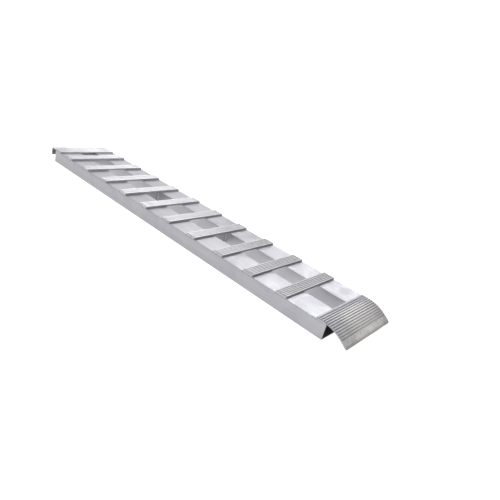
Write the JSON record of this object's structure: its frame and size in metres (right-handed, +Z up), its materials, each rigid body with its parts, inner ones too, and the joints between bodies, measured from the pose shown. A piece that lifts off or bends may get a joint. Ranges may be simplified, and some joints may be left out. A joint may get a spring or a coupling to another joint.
{
  "type": "loading ramp",
  "caption": "Rigid welded aluminium loading ramp: box rails, ribbed tread bars, a bent hook plate at the trailer end and a grooved plate that curves down to the ground.",
  "frame": {"origin": "middle of the ramp's length and width, on the plane that the rails rest on", "axes": "+X from the hook end to the ground end, +Y across the ramp, +Z up from the floor to the tread"},
  "size_m": [2.1068, 0.3556, 0.0755],
  "materials": {
    "box_rail": "mill finish, fine lengthwise extrusion lines",
    "tread_bar": "mill finish, ribbed, worn bright on the ribs",
    "spreader_tube": "mill finish",
    "hook_plate": "mill finish, smooth",
    "ground_plate": "mill finish, grooved, nose polished by use",
    "weld_bead": "rippled bead, bright"
  },
  "bodies": {
    "root": {"left_rail": "box_rail", "right_rail": "box_rail", "rung_01": "tread_bar", "rung_02": "tread_bar", "rung_03": "tread_bar", "rung_04": "tread_bar", "rung_05": "tread_bar", "rung_06": "tread_bar", "rung_07": "tread_bar", "rung_08": "tread_bar", "rung_09": "tread_bar", "rung_10": "tread_bar", "spreader_hook_end": "spreader_tube", "spreader_04": "spreader_tube", "spreader_07": "spreader_tube", "spreader_ground_end": "spreader_tube", "hook_plate": "hook_plate", "ground_plate": "ground_plate", "rung_end_welds": "weld_bead", "rung_inner_welds": "weld_bead", "spreader_welds": "weld_bead", "hook_plate_welds": "weld_bead", "ground_plate_welds": "weld_bead"}
  },
  "joints": []
}
